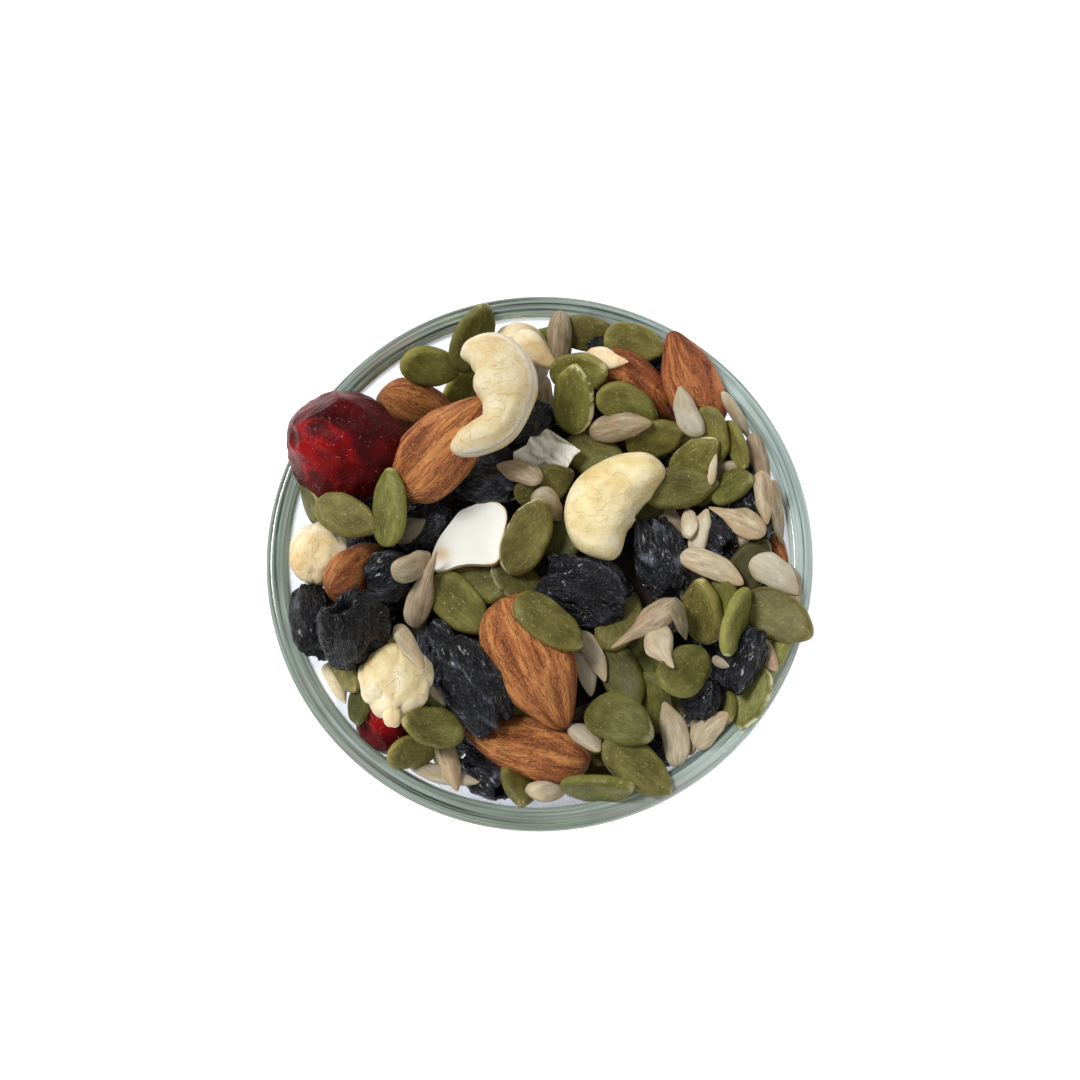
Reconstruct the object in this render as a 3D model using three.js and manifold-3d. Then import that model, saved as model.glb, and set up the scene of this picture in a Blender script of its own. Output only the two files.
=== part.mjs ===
// A small clear glass bowl heaped with trail mix: almonds, cashews, raisins,
// dried cranberries, hulled pumpkin seeds and hulled sunflower seeds.
// Millimetres, +Z up. The origin is the middle of the bowl's flat underside.
// The heap is one solid, out to the uneven outline of the pieces that lie on it.
import * as THREE from "three";
import { mergeVertices } from "three/addons/utils/BufferGeometryUtils.js";
import Module from "manifold-3d";

const wasm = await Module();
wasm.setup();

// Driving dimensions of the bowl.
const RIM_RADIUS = 52;
const BOWL_HEIGHT = 46;
const WALL = 4.4;
const BASE = 5.5;
const LIP_ROUNDING = 1.3; // of both edges of the lip's flat top
const FOOT_RADIUS = 25;
const FOOT_ROUNDING = 1.4;
const FLARE = THREE.MathUtils.degToRad(15); // of the wall at the rim, from upright
const FOOT_RISE = THREE.MathUtils.degToRad(24); // of the wall at the foot, from level
const BOWL_SIDES = 48;
const WALL_STEPS = 6;
const EDGE_STEPS = 2; // round each edge of the lip

// Driving dimensions of the heap.
const GAP = 0.4; // between the heap and the glass
const SHOULDER = 40; // height at which the smooth crown leaves the glass
const CROWN = 52; // height of the crown's middle, under the pieces on it
const CROWN_ROUNDNESS = 2.4; // power of the crown's fall: more is flatter in the middle
const LEAN = 0.04; // rise of the crown for each millimetre towards +X, away from the glass
const SUNK = 0.12; // share of a lying piece that sinks into what is under it
const HELD = 0.05; // the least share that sinks into the heap, where the glass carries the piece
const DROP_FROM = 75; // height above every resting place
const DROP_STEPS = 9; // halvings of the height that find a resting place
const BEND_MIDDLE = 0.78; // where a bent piece's middle lies, as a share of its bend's radius
const HEAP_SIDES = 24;
const CROWN_STEPS = 4;
const SLOPE_REACH = 1; // each way from a place, over which the crown's slope is taken
const MERGE_WITHIN = 0.001; // distance below which two corners are one

// Each kind's usual size: length, width, thickness. Taper narrows the end that
// points along the heading, bend curls the piece in its own plane, in degrees,
// and lumps dents its surface. Sides and rings set how finely it is faceted.
const KINDS = {
  almond: { size: [25, 14.5, 9], taper: 0.25, sides: 7, rings: 5 },
  cashew: { size: [29, 11.5, 11], taper: 0.1, bend: 150, sides: 6, rings: 6 },
  kernelHalf: { size: [19.5, 11.5, 5], taper: -0.2, sides: 8, rings: 4 },
  cranberry: { size: [21.5, 19.5, 18], lumps: 0.05, sides: 8, rings: 6 },
  raisin: { size: [17, 10.5, 8.5], lumps: 0.12, sides: 6, rings: 4 },
  pumpkinSeed: { size: [15, 8.2, 3.2], taper: 0.2, sides: 5, rings: 4 },
  sunflowerSeed: { size: [12.5, 5.6, 3.8], taper: 0.3, sides: 5, rings: 3 },
  flake: { size: [12.5, 9, 1.6], sides: 5, rings: 3 },
};

// What lies on the heap, from the bottom up. Each row is one piece: its kind, its
// middle across (+X) and back (+Y), its heading in degrees from +X towards +Y,
// and, where they aren't 1, 0 and 0, its share of the usual size, its roll about
// its own length and the rise of its leading end, both in degrees.
const LYING = [
  ["raisin", -10, -41, -50, 0.82],
  ["cranberry", -27.5, -32, 0, 0.65],
  ["sunflowerSeed", -38, -24, -65, 0.7],
  ["pumpkinSeed", -37, -20.5, -65, 0.75, 60],
  ["sunflowerSeed", -18, -41.5, -15, 1.05, 30],
  ["almond", 42.5, 2.5, -50, 0.65],
  ["raisin", -21.5, 6, 60, 0.7],
  ["pumpkinSeed", -3.5, -5, -40, 0.8],
  ["cashew", 13, 38, 10, 0.5],
  ["pumpkinSeed", -43, 11, -80, 0.75, 60],
  ["almond", -24, 28.5, -8, 0.85],
  ["pumpkinSeed", -20.5, 37, -3, 0.85],
  ["sunflowerSeed", 4, 41, 93, 1],
  ["almond", 19, 31.5, 140, 0.82],
  ["almond", 29, 33, 113, 0.85, 25],
  ["sunflowerSeed", 37.5, 27, -58, 0.95, 50],
  ["pumpkinSeed", 37, 22, -60, 0.65, 60],
  ["pumpkinSeed", 32.5, 24.5, -70, 0.7],
  ["sunflowerSeed", 42, 19.5, -75, 0.85],
  ["sunflowerSeed", 43, 12.5, -85, 0.85],
  ["sunflowerSeed", 45.5, 8.5, -75, 0.9, 40],
  ["pumpkinSeed", 37, 14, 10, 0.7],
  ["pumpkinSeed", 30, 18.5, 35, 0.8],
  ["pumpkinSeed", 11, 19, -30, 0.85],
  ["raisin", -1.5, 25.5, 50, 0.75],
  ["cashew", -2, 37, -125, 0.85],
  ["pumpkinSeed", 8, 35.5, -5, 0.9],
  ["pumpkinSeed", 17, 29, -22, 0.85],
  ["raisin", -10.5, 13.5, -5, 0.95],
  ["flake", 2, 19.5, -30],
  ["pumpkinSeed", 1.5, 13, 25, 0.8],
  ["sunflowerSeed", 2, 9, -50, 0.8],
  ["raisin", 34, 4, -55, 0.65],
  ["sunflowerSeed", 31, 4.5, 75, 0.8],
  ["pumpkinSeed", 40, -2, 55, 0.75],
  ["sunflowerSeed", 45, -3.5, -38, 1],
  ["pumpkinSeed", 35, -9, 75, 0.8],
  ["pumpkinSeed", 46, -11.5, -32, 1],
  ["pumpkinSeed", 40.5, -27, -100, 0.75, 20],
  ["raisin", 30.5, -26, 60, 0.72],
  ["raisin", 39, -20, 68, 0.85],
  ["pumpkinSeed", 37.5, -12.5, 70, 1, 70],
  ["pumpkinSeed", 22, -28, -75, 0.75, 25],
  ["sunflowerSeed", 26, -34, 102, 1.1],
  ["pumpkinSeed", 16, -23.5, -65, 0.8],
  ["pumpkinSeed", 15.5, -12.5, 65, 0.85],
  ["sunflowerSeed", 10.5, -19.5, -62, 0.9],
  ["almond", -34.5, -2, 50, 0.78],
  ["raisin", -42.5, -12, 95, 0.82],
  ["sunflowerSeed", -23.5, -2, 35, 0.9],
  ["sunflowerSeed", -24.5, -17.5, -63, 1.1],
  ["raisin", -18, -21, -65, 0.85],
  ["cashew", -27, -22, -60, 0.6],
  ["pumpkinSeed", -23, -37, 15, 0.75, 30],
  ["pumpkinSeed", -3.5, -42.5, -82, 0.75],
  ["pumpkinSeed", -1, -29.5, -25, 0.85],
  ["almond", -2, -35.5, 172, 0.97, 15],
  ["almond", -18.5, 21, 50, 0.95],
  ["cranberry", -36, 20.5, -10],
  ["pumpkinSeed", -12.5, 42.5, 65, 1, 0, 15],
  ["cashew", -41.5, 1, 80, 0.5],
  ["pumpkinSeed", -36, 8, -35, 0.85],
  ["pumpkinSeed", 22, 22.5, 15, 0.8],
  ["sunflowerSeed", 15.5, 24.5, 3, 1.05],
  ["pumpkinSeed", 26.5, 13.5, 5, 1],
  ["sunflowerSeed", 37, 8, 148, 1.1],
  ["raisin", 23, 0.5, -75, 1],
  ["sunflowerSeed", 33, -1.5, -28, 1.05],
  ["pumpkinSeed", 31, -10, 95, 0.85],
  ["sunflowerSeed", 20, -13, 215, 1.25],
  ["pumpkinSeed", 28, -21.5, 55, 0.95],
  ["sunflowerSeed", 23.5, -18.5, -65, 0.85],
  ["pumpkinSeed", 18.5, -39.5, -42, 1.1],
  ["pumpkinSeed", 11, -44, -3, 1, 55],
  ["sunflowerSeed", 9, -35, -48, 0.8],
  ["sunflowerSeed", -22, -9, 62, 1],
  ["pumpkinSeed", -15, -9.5, -45, 0.97],
  ["raisin", -34.5, -14, 110, 0.98],
  ["raisin", -10, -24.5, -70, 1],
  ["pumpkinSeed", -20, -32.5, 178, 0.92],
  ["kernelHalf", -12.5, 4, 40],
  ["raisin", 9, -7.5, -20, 1.15],
  ["almond", -1, -21.5, -65, 1.05],
  ["pumpkinSeed", 2, -14, -37, 1.02],
  ["pumpkinSeed", 15.5, -32, -33, 1.15],
  ["pumpkinSeed", -2, 3, 65, 1.03],
  ["cashew", 14, 8.5, 245, 0.92],
  ["pumpkinSeed", 7, 29.5, 85, 0.97],
  ["cashew", -7.5, 30.5, 90, 0.92],
  ["pumpkinSeed", -28, 9, 88, 1],
];

const LOOKS = {
  glass: { color: 0xdfe8e2, roughness: 0.03, metalness: 0 },
  mix: { color: 0x8a7a52, roughness: 0.7, metalness: 0 },
};

// The way out of the wall at the lip, and the middles of the lip's two round edges.
const OUTWARD_AT_LIP = new THREE.Vector2(Math.cos(FLARE), -Math.sin(FLARE));
const OUTER_EDGE = new THREE.Vector2(RIM_RADIUS - LIP_ROUNDING, BOWL_HEIGHT - LIP_ROUNDING);
const LIP_FLAT = new THREE.Vector2((WALL - 2 * LIP_ROUNDING) / Math.cos(FLARE), 0);
const INNER_EDGE = OUTER_EDGE.clone().sub(LIP_FLAT);

// Where the line that leaves the foot and the line that reaches the lip cross.
function wallControl(foot, lip) {
  const rise = Math.tan(FOOT_RISE);
  const inset = Math.tan(FLARE);
  const across = lip.x - inset * (lip.y - foot.y);
  const radius = (across - inset * rise * foot.x) / (1 - inset * rise);
  return new THREE.Vector2(radius, foot.y + rise * (radius - foot.x));
}

function outerWall() {
  const lip = OUTER_EDGE.clone().addScaledVector(OUTWARD_AT_LIP, LIP_ROUNDING);
  const foot = new THREE.Vector2(FOOT_RADIUS, 0);
  return new THREE.QuadraticBezierCurve(foot, wallControl(foot, lip), lip);
}

// A point at a share of the way up the outer wall, moved inwards by depth.
function withinWall(curve, share, depth) {
  const along = curve.getTangent(share);
  return curve.getPoint(share).add(new THREE.Vector2(-along.y, along.x).multiplyScalar(depth));
}

// The glass thins evenly from the foot to halfway up.
function glassThickness(share) {
  return THREE.MathUtils.lerp(BASE, WALL, Math.min(1, share * 2));
}

// The inner wall from the lip down to the floor, moved inwards by grown.
function innerWall(grown) {
  const curve = outerWall();
  const points = [];
  for (let step = WALL_STEPS; step >= 0; step -= 1) {
    const share = step / WALL_STEPS;
    points.push(withinWall(curve, share, glassThickness(share) + grown));
  }
  return points;
}

// Points round one edge of the lip, from one angle to another, moved out by grown.
function roundedEdge(centre, from, to, grown) {
  const points = [];
  for (let step = 0; step <= EDGE_STEPS; step += 1) {
    const turn = THREE.MathUtils.lerp(from, to, step / EDGE_STEPS);
    const around = new THREE.Vector2(Math.cos(turn), Math.sin(turn));
    points.push(centre.clone().addScaledVector(around, LIP_ROUNDING + grown));
  }
  return points;
}

// The bowl's section, from the middle of its underside round to the middle of
// its floor, with every face moved out by grown.
function bowlProfile(grown) {
  const curve = outerWall();
  const points = [new THREE.Vector2(0, -grown)];
  points.push(new THREE.Vector2(FOOT_RADIUS - FOOT_ROUNDING, -grown));
  for (let step = 1; step < WALL_STEPS; step += 1) {
    points.push(withinWall(curve, step / WALL_STEPS, -grown));
  }
  points.push(...roundedEdge(OUTER_EDGE, -FLARE, Math.PI / 2, grown));
  points.push(...roundedEdge(INNER_EDGE, Math.PI / 2, Math.PI - FLARE, grown));
  points.push(...innerWall(grown).slice(1));
  points.push(new THREE.Vector2(0, BASE + grown));
  return points;
}

function turned(profile, sides) {
  return new THREE.LatheGeometry(profile, sides).rotateX(Math.PI / 2);
}

// The smooth crown's height over a point, under every piece that lies on it.
function crownHeight(x, y) {
  const reach = Math.min(1, Math.hypot(x, y) / (RIM_RADIUS - WALL));
  const fall = (CROWN - SHOULDER) * reach ** CROWN_ROUNDNESS;
  return CROWN - fall + LEAN * x * (1 - reach);
}

// The smooth part of the heap: it fills the bowl up to its shoulder and ends in the crown.
function heapBody() {
  const wall = innerWall(GAP);
  const above = wall.findLastIndex((point) => point.y > SHOULDER);
  const share = (SHOULDER - wall[above + 1].y) / (wall[above].y - wall[above + 1].y);
  const shoulder = wall[above + 1].clone().lerp(wall[above], share);
  const points = [new THREE.Vector2(0, BASE + GAP), ...wall.slice(above + 1).reverse(), shoulder];
  for (let step = 1; step <= CROWN_STEPS; step += 1) {
    const radius = shoulder.x * (1 - step / CROWN_STEPS);
    points.push(new THREE.Vector2(radius, crownHeight(radius, 0)));
  }
  const body = turned(points, HEAP_SIDES);
  const place = body.attributes.position;
  for (let i = 0; i < place.count; i += 1) {
    if (place.getZ(i) > SHOULDER) {
      place.setZ(i, crownHeight(place.getX(i), place.getY(i)));
    }
  }
  return body;
}

// Takes a point of a unit ball to a piece that lies flat with its length along
// +X. A bent piece curls round a centre on its +Y side.
function shapedPoint(point, kind, share, seed) {
  const { size, taper = 0, bend = 0, lumps = 0 } = KINDS[kind];
  const [length, width, thickness] = size.map((side) => side * share);
  const dent = Math.sin(point.x * 5 + seed) * Math.sin(point.y * 6 + 2 * seed + 3 * point.z);
  const swell = (1 - taper * point.x) * (1 + lumps * dent);
  const along = (point.x * length) / 2;
  const side = (point.y * width * swell) / 2;
  const up = (point.z * thickness * swell) / 2;
  if (bend === 0) {
    return new THREE.Vector3(along, side, up);
  }
  const radius = length / THREE.MathUtils.degToRad(bend);
  const out = radius - side;
  const middle = radius * BEND_MIDDLE;
  const turn = along / radius;
  return new THREE.Vector3(out * Math.sin(turn), middle - out * Math.cos(turn), up);
}

function pieceGeometry(kind, share, seed) {
  const { sides, rings } = KINDS[kind];
  const shape = new THREE.SphereGeometry(1, sides, rings).rotateZ(-Math.PI / 2);
  const place = shape.attributes.position;
  for (let i = 0; i < place.count; i += 1) {
    const point = new THREE.Vector3().fromBufferAttribute(place, i);
    place.setXYZ(i, ...shapedPoint(point, kind, share, seed));
  }
  return shape;
}

// The turn that lays a piece along the crown's slope, then rolls and tips it.
function lyingTurn(x, y, heading, roll, rise) {
  const reach = SLOPE_REACH;
  const slopeX = (crownHeight(x + reach, y) - crownHeight(x - reach, y)) / (2 * reach);
  const slopeY = (crownHeight(x, y + reach) - crownHeight(x, y - reach)) / (2 * reach);
  const normal = new THREE.Vector3(-slopeX, -slopeY, 1).normalize();
  const angle = THREE.MathUtils.degToRad(heading);
  const ahead = new THREE.Vector3(Math.cos(angle), Math.sin(angle), 0);
  const left = new THREE.Vector3().crossVectors(normal, ahead).normalize();
  ahead.crossVectors(left, normal);
  const tipped = new THREE.Matrix4().makeRotationY(THREE.MathUtils.degToRad(-rise));
  const rolled = new THREE.Matrix4().makeRotationX(THREE.MathUtils.degToRad(roll));
  return new THREE.Matrix4().makeBasis(ahead, left, normal).multiply(tipped).multiply(rolled);
}

function solidOf(geometry) {
  const bare = geometry.clone();
  bare.deleteAttribute("normal");
  bare.deleteAttribute("uv");
  const merged = mergeVertices(bare, MERGE_WITHIN);
  return new wasm.Manifold(
    new wasm.Mesh({
      numProp: 3,
      vertProperties: merged.attributes.position.array,
      triVerts: new Uint32Array(merged.index.array),
    }),
  );
}

function geometryOf(solid) {
  const mesh = solid.getMesh();
  const geometry = new THREE.BufferGeometry();
  geometry.setAttribute("position", new THREE.BufferAttribute(mesh.vertProperties, 3));
  geometry.setIndex(new THREE.BufferAttribute(mesh.triVerts, 1));
  geometry.computeVertexNormals();
  return geometry;
}

// The height at which enough of a piece has sunk into the heap and the glass under it.
function restingHeight(shape, heap, glass) {
  const volume = solidOf(shape).volume();
  let low = 0;
  let high = DROP_FROM;
  for (let step = 0; step < DROP_STEPS; step += 1) {
    const middle = (low + high) / 2;
    const piece = solidOf(shape.clone().translate(0, 0, middle));
    const inHeap = heap.intersect(piece).volume();
    const inGlass = glass.intersect(piece).volume();
    if (inHeap > HELD * volume && inHeap + inGlass > SUNK * volume) {
      low = middle;
    } else {
      high = middle;
    }
  }
  return low;
}

// The crown with every piece lowered onto it and onto those before it, kept clear
// of the glass. The largest body is the heap, without slivers that cutting left.
function heapSolid() {
  const glass = solidOf(turned(bowlProfile(GAP), BOWL_SIDES));
  let heap = solidOf(heapBody());
  LYING.forEach(([kind, x, y, heading, share = 1, roll = 0, rise = 0], seed) => {
    const turn = lyingTurn(x, y, heading, roll, rise).setPosition(x, y, 0);
    const shape = pieceGeometry(kind, share, seed).applyMatrix4(turn);
    const height = restingHeight(shape, heap, glass);
    heap = heap.add(solidOf(shape.translate(0, 0, height)));
  });
  const clear = heap.subtract(glass);
  return clear.decompose().reduce((best, body) => (body.volume() > best.volume() ? body : best));
}

function namedMesh(name, geometry, look) {
  const mesh = new THREE.Mesh(geometry, new THREE.MeshStandardMaterial(look));
  mesh.name = name;
  return mesh;
}

const group = new THREE.Group();
group.add(namedMesh("bowl", turned(bowlProfile(0), BOWL_SIDES), LOOKS.glass));
group.add(namedMesh("trail_mix", geometryOf(heapSolid()), LOOKS.mix));

export default group;
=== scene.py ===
"""Looks of a small clear glass bowl heaped with trail mix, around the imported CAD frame.

Shapes are worked out in millimetres, in the frame's axes: +X right, +Y back, +Z up. They become
metres when a mesh is made. The pieces on top are placed by their middles in the photograph's
pixels, and settle along the camera's line of sight onto the glass and the pieces under them.
"""
import math
from collections import namedtuple
from functools import lru_cache

import bpy
import numpy as np
from mathutils import Matrix, Vector


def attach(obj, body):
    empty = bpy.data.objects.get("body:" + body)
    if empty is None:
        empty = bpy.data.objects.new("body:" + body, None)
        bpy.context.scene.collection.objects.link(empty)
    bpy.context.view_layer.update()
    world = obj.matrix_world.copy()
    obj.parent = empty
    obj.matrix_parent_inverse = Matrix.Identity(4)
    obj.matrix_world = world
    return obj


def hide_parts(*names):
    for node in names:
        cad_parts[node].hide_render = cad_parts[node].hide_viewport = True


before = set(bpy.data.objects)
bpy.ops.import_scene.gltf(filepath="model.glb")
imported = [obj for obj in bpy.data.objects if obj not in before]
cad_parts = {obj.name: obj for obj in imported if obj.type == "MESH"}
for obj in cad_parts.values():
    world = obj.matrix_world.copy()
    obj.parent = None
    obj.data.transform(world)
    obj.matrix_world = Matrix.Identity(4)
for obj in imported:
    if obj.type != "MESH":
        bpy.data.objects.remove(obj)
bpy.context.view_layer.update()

MM = 0.001
OBLIQUE = np.array(Matrix.Rotation(0.8, 3, Vector((1, 2, 3))))  # sets noise askew to the axes

# The camera, which looks down from the front.
PHOTO_SIDE = 1080  # pixels
LENS = 100.0
SENSOR = 36.0
CAMERA_DISTANCE = 570.0
CAMERA_ELEVATION = math.radians(77.4)
CAMERA_AZIMUTH = math.radians(8)
CAMERA_AIM = np.array([0.25, 3.4, 46.0])

# The bowl.
RIM_RADIUS = 52.0
BOWL_HEIGHT = 46.0
WALL = 4.4
BASE = 5.5
LIP_ROUNDING = 1.3  # of both edges of the lip's flat top
FOOT_RADIUS = 25.0
FOOT_ROUNDING = 1.4
FLARE = math.radians(15)  # of the wall at the rim, from upright
FOOT_RISE = math.radians(24)  # of the wall at the foot, from level
WALL_STEPS = 40
EDGE_STEPS = 10
BOWL_SIDES = 192
LIP_FADE = (43.6, 45.2)  # heights between which the wall's look becomes the lip's
LIP_HAZE = 0.12  # roughness of the glass at the lip
# The lip is painted grey-green, with rings of painted light and shade, over its glass.
LIP_PAINTED = 0.5  # share of the lip's look that doesn't pass light

# The heap.
CELL = 0.35  # side of a square of the map of the heap's top
MAP_REACH = 60.0
CORE_SHARE = 0.62  # of the glass's inner radius, at every height
CORE_DEPTH = 7.0  # of the core's top under the filling's
CORE_GAP = 1.0  # over the glass's floor
CORE_STEPS = 30  # up the core's side
CORE_TOP_STEPS = 12
CORE_SIDES = 96
FILL_EDGE = 32.5  # height of the filling at the glass
FILL_MIDDLE = 46.0
FILL_LEAN = 0.09  # rise of the filling for each millimetre towards +X
FILL_ROUNDNESS = 2.2
FILL_LEVELS = 9
FILL_START = 5.0  # height of the lowest level over the glass's floor
FILL_GROWTH = (0.85, 1.1)  # the least and most of a piece's usual size
FILL_SEED = 11  # of the draws that fill the bowl
FIRST_PIECE_SEED = 1001  # of the filling's pieces
TRIES = 30  # places tried for each piece of the filling
MISSES = 4  # pieces that find no room before a level is full
NESTLE = 0.1  # how far a settled piece presses into what is under it, to its thickness
CONTACT = 0.96  # share of a piece's points that stay clear of what is under it
TILTS = np.array([-14.0, -7.0, 0.0, 7.0, 14.0])  # degrees from the slope under a piece, tried
STEEPEST = 40  # degrees
SLOPE_REACH = 0.3  # of a piece's length, each way that the slope under it is taken
SLOPE_SPOTS = 7  # along each side of the square it is taken over
SAMPLE = 900  # points of a piece that try a tilt

# The light and the floor, in metres. The sky has one strength at the horizon and one overhead.
SKY_LOW = 0.85
SKY_HIGH = 0.26
KEY_PLACE = (-1.3, 0.7, 2.3)
KEY_AIM = Vector((0, 0, 0.04))
KEY_SIZE = 0.7
KEY_POWER = 54.0
GLASS_BOUNCES = 32  # light runs far along inside the wall before it leaves by the rim
FLOOR_REACH = 2.0
FLOOR_DROP = 0.00005  # under the bowl's foot
FLOOR_GLOW = 0.7

# Each kind's thickness as a share of its width, the size of its mesh's triangles, and its count
# in a hundred and usual length and width in the filling, which is under the pieces on top.
Kind = namedtuple("Kind", "thickness step count length width", defaults=(0, 0, 0))
KINDS = {
    "almond": Kind(0.6, 0.55, 11, 23.0, 13.5),
    "cashew": Kind(1.0, 0.55, 9, 27.0, 10.5),
    "half": Kind(0.14, 0.4),
    "cranberry": Kind(0.9, 0.5, 3, 17.0, 14.0),
    "raisin": Kind(0.78, 0.46, 25, 15.0, 10.0),
    "pumpkin": Kind(0.3, 0.62, 28, 14.5, 8.0),
    "sunflower": Kind(0.66, 0.5, 24, 11.5, 5.5),
    "flake": Kind(0.06, 0.4),
}
GRAINED = ("almond", "raisin", "pumpkin", "sunflower")  # their grain meets at their tips
CRISP_EDGE = math.radians(35)  # the least bend of a pumpkin seed that shows as an edge

# The filling's triangles are this many times as large, and its bright kinds keep this far below
# its top, so that they don't show in the gaps.
FILLING_COARSENESS = 2.4
BRIGHT_KINDS = ("almond", "cashew", "cranberry")
BRIGHT_DEPTH = 12.0

# Spines of the cashews and their pieces from end to end, seen from above as a piece lies along
# +X: the places of the middle and half the breadth, as shares of the length.
SPINES = {
    "whole": (
        (-0.34, -0.2, 0.11), (-0.26, 0.02, 0.19), (-0.1, 0.13, 0.21), (0.1, 0.13, 0.2),
        (0.26, 0.02, 0.17), (0.34, -0.2, 0.09),
    ),
    "hooked": (
        (-0.27, 0.34, 0.08), (-0.17, 0.36, 0.15), (-0.03, 0.32, 0.21), (0.07, 0.2, 0.245),
        (0.12, 0.04, 0.24), (0.11, -0.12, 0.19), (0.04, -0.27, 0.155), (-0.1, -0.36, 0.145),
        (-0.24, -0.42, 0.13), (-0.35, -0.45, 0.1),
    ),
    "thick": (
        (0.4, 0.3, 0.12), (0.22, 0.27, 0.19), (0.03, 0.17, 0.24), (-0.1, 0.0, 0.26),
        (-0.1, -0.2, 0.23), (0.0, -0.4, 0.13),
    ),
    "curled": (
        (-0.3, 0.36, 0.15), (-0.05, 0.28, 0.27), (0.1, 0.02, 0.3), (0.08, -0.3, 0.2),
    ),
    "shard": ((-0.45, 0.0, 0.24), (-0.1, 0.03, 0.23), (0.2, 0.0, 0.14), (0.5, 0.0, 0.03)),
}

# Corners of the two broken outlines, as shares of half their length, from a lying piece's +X
# round through +Y.
HALF_CORNERS = (
    (0.51, -0.27), (0.65, 0.36), (0.55, 0.6), (0.24, 0.67), (-0.3, 0.46), (-0.72, -0.12),
    (-0.9, -0.66), (-0.84, -0.82), (-0.5, -0.67), (-0.15, -0.6), (0.3, -0.62), (0.48, -0.6),
)
FLAKE_CORNERS = (
    (1.0, -0.03), (0.46, 0.37), (0.09, 0.66), (-0.17, 0.77), (-0.49, 0.4), (-0.6, 0.14),
    (-0.97, -0.06), (-0.97, -0.29), (-0.49, -0.71), (-0.06, -0.46), (0.37, -0.51),
    (0.54, -0.63), (0.8, -0.17),
)

# A piece on top: its middle in the photograph's pixels across and down, its heading in degrees
# from image right towards image top, its length and width in millimetres, its roll about its
# length and the rise of its leading end in degrees (None: as it settles), its style and shade,
# a cashew's spine, and how much of its finest relief it has. Style is the side of a pumpkin
# seed's pale rim, 1 left of its heading, the angle of a cashew's seam from its left side up, or
# 1 for a sunflower seed with a drawn-out tail. Shade lightens or darkens it: partly its own tone,
# and partly painted light and painted shade that make up for how the lamps fall on it. The spine
# "stub" is a broken end, which has none. A row's number in the list below is the seed of its
# piece.
Row = namedtuple(
    "Row",
    "kind across down heading length width roll rise style shade spine fine",
    defaults=(None, None, 0, 0, "whole", 1),
)

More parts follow.
